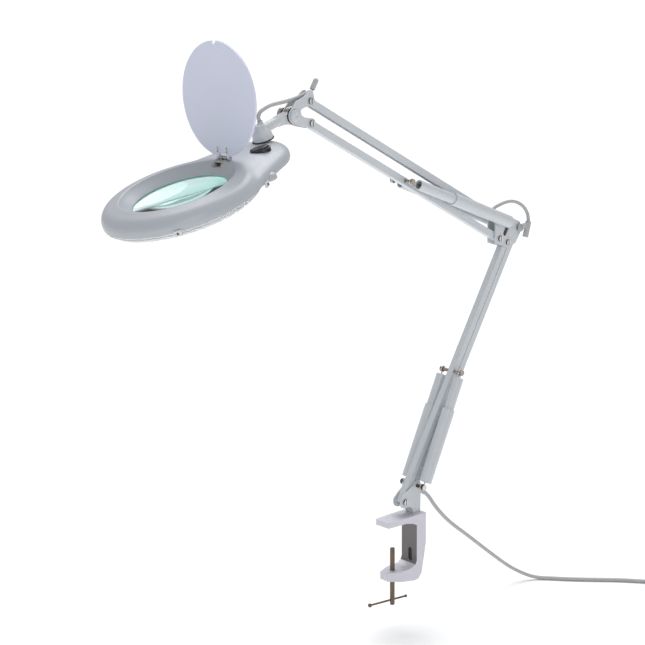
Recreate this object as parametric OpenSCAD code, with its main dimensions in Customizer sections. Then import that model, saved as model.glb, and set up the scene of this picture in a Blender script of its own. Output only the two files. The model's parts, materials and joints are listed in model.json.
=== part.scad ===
// Magnifying lamp: spring-balanced two-part arm on a table clamp, with a round
// lens, a ring tube around it and a hinged lens lid.
// The arm folds in the XZ plane. The lamp head is towards -X, the right side is -Y.
// The origin is on the clamp screw's axis, on the top jaw's table contact face.

/* [Clamp] */
// Half width of the clamp casting at its back
clamp_half_w = 15; // [13:0.5:18]
// Height of the gap between the jaws
clamp_gap = 68; // [60:1:68]
// Radius of the clamp screw
screw_r = 3.5; // [3:0.25:3.75]

/* [Arms] */
// Distance between the pivots of each arm
arm_len = 400; // [360:5:420]
// Slope of the lower arm above the horizontal
lower_deg = 58.9; // [58:0.1:70]
// Direction of the upper arm, from +X towards +Z
upper_deg = 152.9; // [140:0.1:160]
// Width of each channel bar
bar_w = 10; // [9:0.2:10]
// Depth of each channel bar
bar_t = 9.4; // [8:0.2:9.4]
// Sheet thickness of the channel bars
bar_wall = 1.2; // [1:0.1:1.6]
// Radius of the pivot bolts
bolt_r = 2.5; // [2:0.1:2.5]

/* [Springs] */
// Outer radius of the wide spring covers
cover_r = 8.9; // [8.5:0.1:8.9]
// Outer radius of the narrow spring covers
inner_cover_r = 7; // [6.6:0.1:7]
// Distance of the spring covers from the arm's middle plane
spring_y = 16.8; // [16.8:0.1:18]

/* [Head] */
// Slope of the lamp head, front end lower
head_deg = 19.7; // [0:0.1:30]
// Outer radius of the head's ring
head_r = 97.5; // [95:0.5:98]
// Radius of the magnifying lens
lens_r = 63.5; // [62:0.5:63.5]
// Angle of the lid above the closed position
lid_deg = 105; // [0:1:110]

/* [Hidden] */
$fn = 48;

play = 0.08;          // radial running play of the pivots
cheek_in = 5.6;       // inner face of the bracket cheeks
cheek_out = 7.6;      // outer face of the bracket cheeks
hole_r = bolt_r + play;

// Pivots as [x, z]
swivel_x = 41;
front_pivot = [17.5, 28.5];
pivot_step = [23.5, 19];                 // front to rear bar, at yoke and elbow
rear_pivot = front_pivot + pivot_step;
function toward(deg) = [cos(deg), sin(deg)];
elbow_low = front_pivot + arm_len * toward(lower_deg);
elbow_rear = elbow_low + pivot_step;
elbow_bottom = elbow_low + [-16.7, 7.1];
head_step = [-1.4, 27.5];                // bottom to top bar, at elbow and head
elbow_top = elbow_bottom + head_step;
head_bottom = elbow_bottom + arm_len * toward(upper_deg);
head_top = head_bottom + head_step;
tilt_axis = head_bottom + [-27, 10.5];

cable_slot = [9, 26];                    // from each pivot of the top bar

// Spring anchors on the moving bars
lower_pin_at = [197, 1.9];               // along and across the front bar
upper_pin_at = [212, 0];                 // along and across the bottom bar
function on_bar(pivot, deg, p) = pivot + p[0] * toward(deg) + p[1] * toward(deg + 90);
lower_pin = on_bar(front_pivot, lower_deg, lower_pin_at);
upper_pin = on_bar(elbow_bottom, upper_deg, upper_pin_at);
function heading(a, b) = atan2(b[1] - a[1], b[0] - a[0]);
cover_shift = 3.2;                       // lower covers sit this far off the anchor
lower_base = rear_pivot + cover_shift * [0.892, -0.452];
lower_cover_deg = heading(lower_base, lower_pin);
upper_cover_deg = heading(elbow_top, upper_pin);
lower_span = norm(lower_pin - lower_base);
upper_span = norm(upper_pin - elbow_top);

// Head, in its own frame: x towards the neck, z out of the top face, and the
// origin at the centre of the recess rim
tilt_in_head = [192, 8];
post_x = 140;
lobe_x = 98;
lobe_r = 60;
rim_r = 70.5;
shell_wall = 2.5;
crest_r = 76;
shell_h = 18.5;
shell_base = -20.5;
lip_z = -13.1;                           // underside of the lip over the lens
hinge_x = 76;
hinge_z = 3;                             // height of the hinge pin
lid_t = 3;
lid_r = 68.5;
lid_reach = 69.5;                        // hinge pin to the lid's centre
switch_at = [112, -26];
switch_turn = -62;
switch_z = -1.05;
rocker_z = -3;                          // pivot below the switch's flange
rocker_deg = 8;

// Mains cord
cord_r = 2.75;
floor_z = -155;
relief_at = [47.45, 42];
relief_deg = -35;
relief_len = 20;
relief_from = 3.6;                       // start of the cone, clear of the web
relief_bore = 2.6;
cord_route = [
    [64, 0, 30.4], [67.8, 0, 27.4], [75, 0, 19.4], [84.5, 0, 7], [97, 0, -7],
    [113, 0, -22.5], [133, 0, -38.8], [157, 0, -57.2], [185, 0, -79.4],
    [212, 0, -100.5], [235, 0, -118], [254, -1, -131.5], [270, -5, -141.5],
    [283, -12, -148.5], [294, -21, -151.8], [304, -32, -152.25],
    [317, -48, -152.25], [333, -66, -152.25], [353, -87, -152.25],
    [377, -112, -152.25], [402, -144, -152.25], [415, -160, -152.25],
    [428, -174, -152.25]
];
coil_mid_r = 32;
coil_w = 22.6;
coil_h = 10.4;
coil_at = [400, -203];
tie_t = 1;
tail_deg = -54;                          // where the tail leaves the coil
tail_r = 38.6;
plug_z = floor_z + 7;

// ---------------------------------------------------------------- helpers

// Puts children's XZ origin at the point p
module at(p) { translate([p[0], 0, p[1]]) children(); }

// Turns children so that +X points along the angle deg in the XZ plane
module heading_to(deg) { rotate([0, -deg, 0]) children(); }

// Extrudes an outline drawn in x and z from y0 to y1
module slab(y0, y1) {
    translate([0, y1, 0]) rotate([90, 0, 0]) linear_extrude(y1 - y0) children();
}

// Cylinder along Y at the point p
module pin_y(p, r, y0, y1) {
    translate([p[0], y0, p[1]]) rotate([-90, 0, 0]) cylinder(r = r, h = y1 - y0);
}

// Cylinder along X from x0 to x1, at the height z
module rod_x(r, x0, x1, y = 0, z = 0) {
    translate([x0, y, z]) rotate([0, 90, 0]) cylinder(r = r, h = x1 - x0);
}

// The same shape on both sides of the middle plane
module both_sides() {
    children();
    mirror([0, 1, 0]) children();
}

// Slotted round head on the right side, domed, with its seat at y = -seat
module bolt_head(p, seat, r = 4, h = 2.4) {
    difference() {
        pin_y(p, r, -seat - h, -seat);
        translate([p[0] - 0.6, -seat - h - 1, p[1] - r - 1]) cube([1.2, 1.9, 2 * r + 2]);
    }
}

// Hexagon nut on the left side
module hex_nut(p, seat, r = 4.6, h = 3.4) {
    translate([p[0], seat, p[1]]) rotate([-90, 0, 0])
        difference() {
            cylinder(r = r, h = h, $fn = 6);
            translate([0, 0, -1]) cylinder(r = bolt_r, h = h + 2);
        }
}

// Bolt through a pair of cheeks with its nut, as two solids
module cheek_bolt(p, seat = cheek_out) {
    pin_y(p, bolt_r, -seat, seat + 4.4);
    bolt_head(p, seat);
    hex_nut(p, seat);
}

// Thin washers between a bar and the cheeks
module washers(p) {
    both_sides() difference() {
        pin_y(p, 4.6, bar_w / 2 + 0.05, cheek_in - 0.05);
        pin_y(p, hole_r, 0, cheek_in + 1);
    }
}

// Channel bar between two pivots along +X, its web on the side web (1 or -1)
module channel_bar(length, web) {
    end_r = bar_t / 2;
    inner_w = bar_w - 2 * bar_wall;
    difference() {
        union() {
            slab(-bar_w / 2, bar_w / 2) translate([0, -end_r]) square([length, bar_t]);
            pin_y([0, 0], end_r, -bar_w / 2, bar_w / 2);
            pin_y([length, 0], end_r, -bar_w / 2, bar_w / 2);
        }
        translate([-20, -inner_w / 2, web > 0 ? -end_r - 5 : -end_r + bar_wall])
            cube([length + 40, inner_w, bar_t - bar_wall + 5]);
        pin_y([0, 0], hole_r, -bar_w, bar_w);
        pin_y([length, 0], hole_r, -bar_w, bar_w);
    }
}

// Straight length of cable inside a channel bar, clear of its ends by gap
module cable_in_bar(length, gap) { rod_x(2.4, gap, length - gap, 0, -0.9); }

// Round tube along +X with a narrowed mouth at its far end
module cover_tube(r, wall, x0, x1, mouth_r) {
    difference() {
        rod_x(r, x0, x1);
        rod_x(r - wall, x0 - 1, x1 - 1.2);
        rod_x(mouth_r, x0, x1 + 1);
    }
}

// Coil of a tension spring as a plain sleeve along +X
module spring_sleeve(x0, x1) {
    difference() {
        rod_x(5.4, x0, x1);
        rod_x(4, x0 - 1, x1 + 1);
    }
}

// Wire eye round a pin along Y, with a straight leg to x = reach
module wire_hook(reach, shift = 0) {
    wire = 1;
    eye = bolt_r + 0.15 + wire;
    rotate([90, 0, 0]) rotate_extrude() translate([eye, 0]) circle(r = wire, $fn = 24);
    rod_x(wire, shift == 0 ? eye : 1, reach, 0, shift);
}

// ---------------------------------------------------------------- clamp

jaw_top = 8;
beam_x0 = 33.4;
beam_x1 = 51.5;

module clamp_frame() color("lavender") difference() {
    union() {
        // top jaw
        linear_extrude(jaw_top) polygon([
            [-20, -12], [-18.8, -13.2], [15, -clamp_half_w], [beam_x1, -clamp_half_w],
            [beam_x1, clamp_half_w], [15, clamp_half_w], [-18.8, 13.2], [-20, 12]
        ]);
        // back, with the gusset under the top jaw
        slab(-clamp_half_w, clamp_half_w) polygon([
            [12, 0.5], [12, 0], [28, -3.4], [beam_x0, -7], [beam_x0, 9 - clamp_gap],
            [31, 4 - clamp_gap], [25, 1 - clamp_gap], [18, -clamp_gap],
            [18, -clamp_gap - 17.5], [30, -clamp_gap - 19.5], [37, -clamp_gap - 18.5],
            [43, -clamp_gap - 12], [49, -50], [beam_x1, -36], [beam_x1, 0.5]
        ]);
        // bottom jaw
        intersection() {
            slab(-clamp_half_w, clamp_half_w) polygon([
                [-18, -clamp_gap], [30, -clamp_gap], [30, -clamp_gap - 19.5],
                [-16, -clamp_gap - 11.5], [-18, -clamp_gap - 10]
            ]);
            translate([0, 0, -clamp_gap - 30]) linear_extrude(40) polygon([
                [-18, -5], [-17, -7], [4, -clamp_half_w], [40, -clamp_half_w],
                [40, clamp_half_w], [4, clamp_half_w], [-17, 7], [-18, 5]
            ]);
        }
    }
    translate([swivel_x, 0, -25]) cylinder(r = 6.6, h = 40);
    translate([0, 0, -clamp_gap - 30]) cylinder(r = screw_r + play, h = 40);
    // moulded relief in the back's inner face
    translate([beam_x0 - 1, -5.5, -60]) cube([3, 7, 14]);
    for (z = [-60, -46]) translate([beam_x0 - 1, -2, z]) rotate([0, 90, 0])
        cylinder(r = 3.5, h = 3);
}

module swivel_bush() color("white") difference() {
    union() {
        translate([swivel_x, 0, -25]) cylinder(r = 6.6, h = 33);
        translate([swivel_x, 0, jaw_top]) cylinder(r = 9.5, h = 0.5);
    }
    translate([swivel_x, 0, -23]) cylinder(r = 5 + play, h = 40);
}

screw_top = -35.5;
screw_low = -119.5;
bar_z = -112;
bar_turn = -8.5;
bar_hole_r = 1.45;

module clamp_screw() color("dimgray") difference() {
    union() {
        translate([0, 0, screw_low + 1]) cylinder(r = screw_r, h = screw_top - screw_low - 2);
        translate([0, 0, screw_low]) cylinder(r1 = screw_r - 1, r2 = screw_r, h = 1);
        translate([0, 0, screw_top - 1]) cylinder(r1 = screw_r, r2 = screw_r - 1, h = 1);
    }
    translate([0, 0, bar_z]) rotate([0, 0, bar_turn]) rod_x(bar_hole_r, -10, 10);
}

module tommy_bar() color("dimgray") translate([0, 0, bar_z]) rotate([0, 0, bar_turn]) {
    rod_x(bar_hole_r - play, -37, 22);
    translate([-38.5, 0, 0]) sphere(r = 2.9, $fn = 32);
    rod_x(2, 22, 24.5);
}

// ---------------------------------------------------------------- yoke

module yoke_outline() {
    translate(front_pivot) circle(r = 9);
    translate(rear_pivot) circle(r = 7.5);
    polygon([
        [10, 33.2], [16.5, 39.6], [24.5, 44.7], [35, 50.2], [41, 55], [48.4, 49],
        [47.5, 8.7], [34, 8.7], [31, 16.5], [27, 19.8], [17.5, 19.5]
    ]);
}

module base_yoke() color("lightgray") difference() {
    union() {
        both_sides() slab(cheek_in, cheek_out) yoke_outline();
        slab(-cheek_in, cheek_in) translate([34, 8.7]) square([13.4, 11.3]);
        // web that holds the strain relief
        slab(-cheek_in, cheek_in) translate([46, 19]) square([1.4, 25.4]);
        translate([swivel_x, 0, 8.55]) cylinder(r = 6.5, h = 5);
        translate([swivel_x, 0, -22.5]) cylinder(r = 5, h = 33);
    }
    for (p = [front_pivot, rear_pivot]) pin_y(p, hole_r, -20, 20);
    // cord outlet in the web
    rod_x(relief_bore, 40, 50, 0, relief_at[1]);
}

anchor_reach = 21.2;

module yoke_bolts() color("dimgray") {
    cheek_bolt(front_pivot);
    // long bolt that also anchors the two lower springs
    pin_y(rear_pivot, bolt_r, -anchor_reach, anchor_reach);
    both_sides() pin_y(rear_pivot, 4.2, spring_y + 2.4, anchor_reach + 1);
}

module yoke_washers() color("white") {
    washers(front_pivot);
    washers(rear_pivot);
}

module cord_strain_relief() color("darkgray") at(relief_at) {
    rod_x(4.6, 0, 2.4);
    heading_to(relief_deg) translate([relief_from, 0, 0]) rotate([0, 90, 0]) difference() {
        cylinder(r1 = 4.2, r2 = 3.2, h = relief_len - relief_from);
        translate([0, 0, 6]) cylinder(r = 2, h = relief_len);
    }
}

// ---------------------------------------------------------------- lower arm

module lower_front_bar() color("gainsboro") at(front_pivot) heading_to(lower_deg)
    difference() {
        channel_bar(arm_len, 1);
        pin_y(lower_pin_at, bolt_r, -20, 20);
    }

module lower_rear_bar() color("gainsboro") at(rear_pivot) heading_to(lower_deg)
    channel_bar(arm_len, -1);

module lower_cable_run() color("darkgray") at(rear_pivot) heading_to(lower_deg)
    cable_in_bar(arm_len, 12);

module spring_pin() {
    pin_y([0, 0], bolt_r, -spring_y - 3.4, spring_y + 3.4);
    both_sides() pin_y([0, 0], 4, spring_y + 1.4, spring_y + 3.6);
}

module lower_spring_pin() color("silver")
    at(front_pivot) heading_to(lower_deg) translate([lower_pin_at[0], 0, lower_pin_at[1]])
        spring_pin();

outer_len = 115;
mouth = inner_cover_r + 0.3;

module lower_outer_covers() color("gainsboro") at(lower_base) heading_to(lower_cover_deg)
    both_sides() translate([0, spring_y, 0])
        cover_tube(cover_r, 0.8, 8, outer_len, mouth);

module lower_inner_covers() color("gainsboro") at(lower_base) heading_to(lower_cover_deg)
    both_sides() translate([0, spring_y, 0])
        cover_tube(inner_cover_r, 0.7, 74, lower_span - 8, 5.2);

module lower_springs() color("silver") at(lower_base) heading_to(lower_cover_deg)
    both_sides() translate([0, spring_y, 0]) spring_sleeve(12, lower_span - 16);

module lower_spring_hooks() color("silver") at(rear_pivot) heading_to(lower_cover_deg)
    both_sides() translate([0, spring_y, 0]) wire_hook(11, -cover_shift);

module lower_spring_eyes() color("silver") at(lower_pin) heading_to(lower_cover_deg)
    both_sides() translate([0, spring_y, 0]) rotate([0, 180, 0]) wire_hook(14.5);

// ---------------------------------------------------------------- elbow

module elbow_outline() difference() {
    union() {
        translate(elbow_bottom) circle(r = 8);
        translate(elbow_low) circle(r = 8.2);
        translate(elbow_rear) circle(r = 6.2);
        translate(elbow_top) circle(r = 8);
        translate(elbow_low) polygon([
            [-27, 1], [-27, 34], [-24.5, 40.5], [-18, 43], [1.5, 37.8], [25, 27.6],
            [29.6, 20], [28, 13], [17, -2.5], [4, -7.5], [-18, -2]
        ]);
    }
    // slanted window
    translate(elbow_low + [-4, 17]) rotate(lower_deg) {
        translate([-4, -4]) square([8, 8]);
        for (x = [-4, 4]) translate([x, 0]) circle(r = 4);
    }
}

module elbow_bracket() color("lightgray") difference() {
    union() {
        both_sides() slab(cheek_in, cheek_out) elbow_outline();
        slab(-cheek_in, cheek_in) translate(elbow_low)
            polygon([[3, 37.3], [3, 35], [23, 26.4], [23, 28.4]]);
    }
    for (p = [elbow_bottom, elbow_low, elbow_rear, elbow_top]) pin_y(p, hole_r, -20, 20);
}

clip_y = 10.2;

module elbow_bolts() color("dimgray") {
    cheek_bolt(elbow_bottom);
    cheek_bolt(elbow_low);
    cheek_bolt(elbow_rear);
    // long bolt that also anchors the two upper springs
    pin_y(elbow_top, bolt_r, -anchor_reach, anchor_reach);
    both_sides() pin_y(elbow_top, 4.2, spring_y + 2.4, anchor_reach + 1);
}

module elbow_washers() color("white")
    for (p = [elbow_bottom, elbow_low, elbow_rear, elbow_top]) washers(p);

// Round foot on the bolt head, neck and the sleeve that takes the cord's end
module elbow_cord_clip() color("darkgray") {
    pin_y(elbow_rear, 5.6, -clip_y - 1.8, -clip_y);
    pin_y(elbow_rear + [3.2, 1.5], 3.6, -clip_y - 5, -clip_y - 1.8);
    translate([elbow_rear[0] + 14.2, -clip_y - 2.2, elbow_rear[1] + 3])
        rotate([0, 17, 0]) difference() {
            translate([0, 0, -18]) cylinder(r = 4.2, h = 23);
            translate([0, 0, -4]) cylinder(r = 2.5, h = 12);
        }
    translate([elbow_rear[0] + 3, -clip_y - 4.8, elbow_rear[1] - 2]) cube([8.5, 3, 8]);
}

// ---------------------------------------------------------------- upper arm

module upper_bottom_bar() color("gainsboro") at(elbow_bottom) heading_to(upper_deg)
    difference() {
        channel_bar(arm_len, 1);
        pin_y(upper_pin_at, bolt_r, -20, 20);
    }

module upper_top_bar() color("gainsboro") at(elbow_top) heading_to(upper_deg)
    difference() {
        channel_bar(arm_len, -1);
        // slots in the web for the cord
        for (x = [cable_slot[0], arm_len - cable_slot[1]])
            translate([x, -3, -bar_t]) cube([cable_slot[1] - cable_slot[0], 6, bar_t - 3]);
    }

module upper_cable_run() color("darkgray") at(elbow_top) heading_to(upper_deg)
    cable_in_bar(arm_len, cable_slot[1]);

module upper_spring_pin() color("silver")
    at(elbow_bottom) heading_to(upper_deg) translate([upper_pin_at[0], 0, upper_pin_at[1]])
        spring_pin();

module upper_outer_covers() color("gainsboro") at(elbow_top) heading_to(upper_cover_deg)
    both_sides() translate([0, spring_y, 0]) difference() {
        cover_tube(cover_r, 0.8, -10, outer_len, mouth);
        // slot that clears the anchor bolt
        translate([-12, -cover_r - 1, -bolt_r - 0.6]) cube([16, 4, 2 * bolt_r + 1.2]);
    }

module upper_inner_covers() color("gainsboro") at(elbow_top) heading_to(upper_cover_deg)
    both_sides() translate([0, spring_y, 0])
        cover_tube(inner_cover_r, 0.7, 84, upper_span - 14, 5.2);

module upper_springs() color("silver") at(elbow_top) heading_to(upper_cover_deg)
    both_sides() translate([0, spring_y, 0]) spring_sleeve(12, upper_span - 24);

module upper_spring_hooks() color("silver") at(elbow_top) heading_to(upper_cover_deg)
    both_sides() translate([0, spring_y, 0]) wire_hook(11);

module upper_spring_eyes() color("silver") at(upper_pin) heading_to(upper_cover_deg)
    both_sides() translate([0, spring_y, 0]) rotate([0, 180, 0]) wire_hook(22);

// ---------------------------------------------------------------- head bracket

module head_bracket_outline() {
    translate(tilt_axis) circle(r = 10);
    translate(head_top) circle(r = 6.4);
    translate(head_bottom) circle(r = 6.4);
    // upper branch, rising to the cord sleeve
    translate(head_bottom) polygon([
        [-34, 18], [-25, 28.5], [-12, 33.5], [-3, 40.5], [2, 41], [4.6, 30], [-3, 21.3],
        [-12, 20.2], [-17.8, 17.4], [-20, 8]
    ]);
    // lower branch
    translate(head_bottom) polygon([
        [-33, 2.5], [-24, -0.8], [-12, -4], [-1, -6.3], [-1, 6.3], [-12, 8.2],
        [-17.8, 11.6], [-18.2, 17]
    ]);
}

module head_bracket() color("lightgray") difference() {
    both_sides() slab(cheek_in, cheek_out) head_bracket_outline();
    for (p = [head_top, head_bottom]) pin_y(p, hole_r, -20, 20);
    pin_y(tilt_axis, 3 + play, -20, 20);
}

module head_bracket_bolts() color("dimgray")
    for (p = [head_top, head_bottom]) cheek_bolt(p);

module head_bracket_washers() color("white")
    for (p = [head_top, head_bottom]) washers(p);

sleeve_at = head_bottom + [10.6, 46.6];
sleeve_deg = 58;

module head_cord_sleeve() color("darkgray") at(sleeve_at) heading_to(sleeve_deg)
    difference() {
        union() {
            rod_x(3.4, -6, 6);
            translate([6, 0, 0]) sphere(r = 3.4, $fn = 32);
        }
        rod_x(2.5, -7, 2);
    }

module tilt_bolt() color("dimgray") {
    pin_y(tilt_axis, 3, -cheek_out, cheek_out + 7);
    bolt_head(tilt_axis, cheek_out, 5, 3);
    // dome nut on the left side
    difference() {
        union() {
            pin_y(tilt_axis, 6, cheek_out, cheek_out + 5);
            translate([tilt_axis[0], cheek_out + 5, tilt_axis[1]]) sphere(r = 5.6, $fn = 32);
        }
        pin_y(tilt_axis, 3, 0, cheek_out + 7);
        translate([tilt_axis[0] - 10, -10, tilt_axis[1] - 10]) cube([20, 10 + cheek_out, 20]);
    }
}

module tilt_washers() color("black") both_sides() difference() {
    pin_y(tilt_axis, 10.4, 3.6, cheek_in - 0.05);
    pin_y(tilt_axis, 3 + play, 0, 20);
}

// ---------------------------------------------------------------- head

module head_frame() {
    at(tilt_axis) heading_to(head_deg)
        translate([-tilt_in_head[0], 0, -tilt_in_head[1]]) children();
}

module head_stem() color("silver") head_frame() difference() {
    union() {
        pin_y(tilt_in_head, 8.4, -3.4, 3.4);
        // flattened end of the tube
        slab(-3.4, 3.4) polygon([
            [192, 15], [180, 16.8], [166, 16.6], [166, 4.4], [180, 2.5], [190, 0.5]
        ]);
        rod_x(6.2, post_x + 2, 170, 0, 10.5);
        // bell over the neck's socket
        translate([post_x, 0, 0]) rotate_extrude() polygon([
            [0, -2.4], [12.6, -2.4], [13, -1.4], [13, 3], [12.2, 6], [10, 9.4], [8, 12.4],
            [7.3, 16], [5.8, 18], [0, 18.4]
        ]);
        translate([post_x, 0, -16]) cylinder(r = 6, h = 14);
        translate([post_x + 4, 2, 16]) cylinder(r = 3.6, h = 5);
    }
    pin_y(tilt_in_head, 3 + play, -20, 20);
    translate([post_x + 4, 2, 18]) cylinder(r = 2.5, h = 5);
}

module stem_ring_nut() color("dimgray") head_frame() translate([post_x, 0, -14.8]) difference() {
    cylinder(r = 10, h = 4, $fn = 6);
    translate([0, 0, -1]) cylinder(r = 6, h = 6);
}

// Two circles and the strips between them, drawn inwards by d
module head_plan(d) {
    main_r = head_r - d;
    end_r = lobe_r - d;
    s = (head_r - lobe_r) / lobe_x;
    c = sqrt(1 - s * s);
    circle(r = main_r);
    translate([lobe_x, 0]) circle(r = end_r);
    polygon([
        [main_r * s, main_r * c], [lobe_x + end_r * s, end_r * c],
        [lobe_x + end_r * s, -end_r * c], [main_r * s, -main_r * c]
    ]);
}

// Rounded body of the head, its surfaces drawn inwards by d
module head_body(d) {
    curve = [for (a = [0 : 15 : 90]) [cos(a), sin(a)]];
    drop = 21.5;
    hull() {
        rotate_extrude($fn = 64) polygon(concat(
            [[0, shell_base], [head_r - d, shell_base]],
            [for (k = curve) [head_r - drop + (drop - d) * k[0], -18 + (shell_h - d) * k[1]]],
            [[0, 0.5 - d]]
        ));
        translate([lobe_x, 0, 0]) rotate_extrude($fn = 48) polygon(concat(
            [[0, shell_base], [lobe_r - d, shell_base]],
            [for (k = curve) [lobe_r - drop + (drop - d) * k[0], -18 + (14 - d) * k[1]]],
            [[0, -4 - d]]
        ));
    }
}

module housing_shell() color("lavender") head_frame() difference() {
    union() {
        difference() {
            head_body(0);
            head_body(shell_wall);
            translate([0, 0, shell_base - 1]) linear_extrude(1.02) head_plan(shell_wall);
        }
        // wall of the lens well
        intersection() {
            head_body(0);
            rotate_extrude() polygon([
                [50, 2], [crest_r + 1, 2], [crest_r + 1, -1], [66.5, -8], [66.5, shell_base],
                [50, shell_base]
            ]);
        }
    }
    // recess, lens opening and lens seat
    rotate_extrude() polygon([
        [0, 5], [rim_r, 5], [rim_r, 0], [58, -12], [58, lip_z], [lens_r + 0.15, lip_z],
        [lens_r + 0.15, -40], [0, -40]
    ]);
    translate([post_x, 0, -20]) cylinder(r = 6 + play, h = 30);
    translate([switch_at[0], switch_at[1], -30]) rotate([0, 0, switch_turn])
        translate([-10.6, -6.6, 0]) cube([21.2, 13.2, 40]);
}

module lens() color("lightcyan", 0.5) head_frame() translate([0, 0, -17.2]) {
    sag = 4.6;
    ball = (lens_r * lens_r + sag * sag) / (2 * sag);
    arc = [for (k = [0 : 10]) lens_r * k / 10];
    rotate_extrude() polygon(concat(
        [for (r = arc) [r, 3 + sag - (ball - sqrt(ball * ball - r * r))]],
        [for (k = [10 : -1 : 0]) let (r = arc[k]) [r, -sag + ball - sqrt(ball * ball - r * r)]]
    ));
}

module lens_ring() color("white") head_frame() difference() {
    translate([0, 0, -20.9]) cylinder(r = lens_r + 0.1, h = 3);
    translate([0, 0, -22]) cylinder(r = 60, h = 6);
}

module reflector() color("white") head_frame() rotate_extrude() polygon([
    [69, -7], [70, -6.2], [86, -6.2], [91, -10], [91, -11.2], [86, -7.4], [70, -7.4],
    [69, -8.2]
]);

tube_ring_r = 79.5;
tube_z = -16;

module ring_tube() color("white") head_frame() difference() {
    translate([0, 0, tube_z]) rotate_extrude() translate([tube_ring_r, 0]) circle(r = 6.5);
    // gap bridged by the four-pin cap
    translate([60, -11, -30]) cube([40, 22, 30]);
}

module tube_clips() color("silver") head_frame() {
    for (a = [60, 180, 300]) rotate([0, 0, a]) translate([tube_ring_r, 0, tube_z])
        rotate([90, 0, 0]) translate([0, 0, -3]) difference() {
            cylinder(r = 7.5, h = 6);
            translate([0, 0, -1]) cylinder(r = 6.6, h = 8);
            translate([-10, -12, -1]) cube([20, 9, 8]);
        }
    // four-pin cap
    translate([73, -10.6, tube_z - 6]) cube([13, 21.2, 12]);
}

module ballast() color("dimgray") head_frame()
    translate([97, 2, -19.4]) cube([26, 34, 11]);

module neck_plate() color("lavender") head_frame() difference() {
    translate([0, 0, shell_base - 2]) linear_extrude(1.9) {
        translate([lobe_x, 0]) circle(r = lobe_r - 1);
        polygon([[64, -76], [118, -55], [118, 55], [64, 76]]);
    }
    translate([0, 0, -40]) cylinder(r = head_r + 1.5, h = 40);
}

module diffuser_ring() color("whitesmoke", 0.6) head_frame() rotate_extrude() polygon([
    [64.5, -20.7], [66.2, -20.7], [66.2, -26.6], [90, -26.6], [95, -22.5], [95, -20.7],
    [97, -20.7], [97, -23.2], [91.5, -28.3], [64.5, -28.3]
]);

clip_spots = [[-65.2, -72.7, -131.9], [-65.2, 72.7, 131.9], [67.7, -77.5, -67.5], [67.7, 77.5, 67.5]];

module diffuser_clips() color("lightgray") head_frame() for (c = clip_spots)
    translate([c[0], c[1], 0]) rotate([0, 0, c[2]]) {
        difference() {
            translate([0.1, -4, -25]) cube([2.2, 8, 6.5]);
            translate([-2, 0, -22]) rod_x(1.3, 0, 8);
        }
        translate([0, 0, -22]) rod_x(1.25, 0.3, 3.2);
    }

module at_switch() {
    head_frame() translate([switch_at[0], switch_at[1], switch_z])
        rotate([0, 0, switch_turn]) children();
}

module switch_frame() color("black") at_switch() difference() {
    union() {
        translate([-14, -8.5, 0]) cube([28, 17, 2]);
        translate([-10.4, -6.4, -15]) cube([20.8, 12.8, 16]);
    }
    translate([-9.4, -5.2, -11]) cube([18.8, 10.4, 20]);
}

module switch_rocker() color("black") at_switch() translate([0, 0, rocker_z])
    heading_to(rocker_deg) {
        slab(-4.9, 4.9) polygon([
            [-8.2, 5.2], [-8, 1], [-2.5, -3.4], [2.5, -3.4], [8, 1], [8.2, 5.2], [0, 3.9]
        ]);
        // trunnions that it rocks on
        pin_y([0, 0], 1.2, -5.1, 5.1);
    }

// ---------------------------------------------------------------- lid

knuckle_y = [-10.5, 10.5];

module lid_hinge_leaf() color("silver") head_frame() difference() {
    union() {
        translate([71, -13, 0.6]) cube([2.2, 26, 0.7]);
        translate([71, -7.4, 0.6]) cube([11.5, 14.8, 0.7]);
        for (y = [-4, 4]) pin_y([hinge_x, hinge_z], 2.2, y - 2.2, y + 2.2);
        for (y = [-4, 4]) translate([hinge_x - 2, y - 2.2, 1]) cube([4, 4.4, 2]);
    }
    pin_y([hinge_x, hinge_z], 1.2, -30, 30);
    translate([72, -1.4, 0]) cube([8, 2.8, 3]);
}

module lid_hinge_pin() color("silver") head_frame()
    pin_y([hinge_x, hinge_z], 1.15, -14.5, 14.5);

module lens_lid() color("lavender") head_frame() translate([hinge_x, 0, hinge_z])
    rotate([0, lid_deg, 0]) difference() {
        union() {
            difference() {
                translate([-lid_reach, 0, -1.6]) cylinder(r = lid_r, h = lid_t, $fn = 96);
                // room for the hinge leaf's knuckles
                translate([-5, -6.6, -3]) cube([9, 13.2, 6]);
                // finger notch
                translate([-lid_reach - lid_r - 1, 0, -5]) cylinder(r = 5, h = 10);
            }
            for (y = knuckle_y) {
                pin_y([0, 0], 2.2, y - 2.2, y + 2.2);
                translate([-6, y - 2.2, -0.9]) cube([5, 4.4, 2.2]);
            }
        }
        pin_y([0, 0], 1.25, -30, 30);
    }

// ---------------------------------------------------------------- cords

// Unit vector
function unit(v) = v / norm(v);

// Direction of a route at its point i
function run(p, i) = unit(p[min(i + 1, len(p) - 1)] - p[max(i - 1, 0)]);

// Point on a smooth curve through the route, u counted in points
function on_curve(p, u) =
    let (n = len(p) - 1, i = min(floor(u), n - 1), t = u - i,
         a = p[max(i - 1, 0)], b = p[i], c = p[i + 1], d = p[min(i + 2, n)])
    0.5 * (2 * b + (c - a) * t + (2 * a - 5 * b + 4 * c - d) * t * t
        + (3 * b - a - 3 * c + d) * t * t * t);

// Curve sampled per_span times between neighbouring points
function sampled(p, per_span) =
    [for (k = [0 : (len(p) - 1) * per_span]) on_curve(p, k / per_span)];

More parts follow.
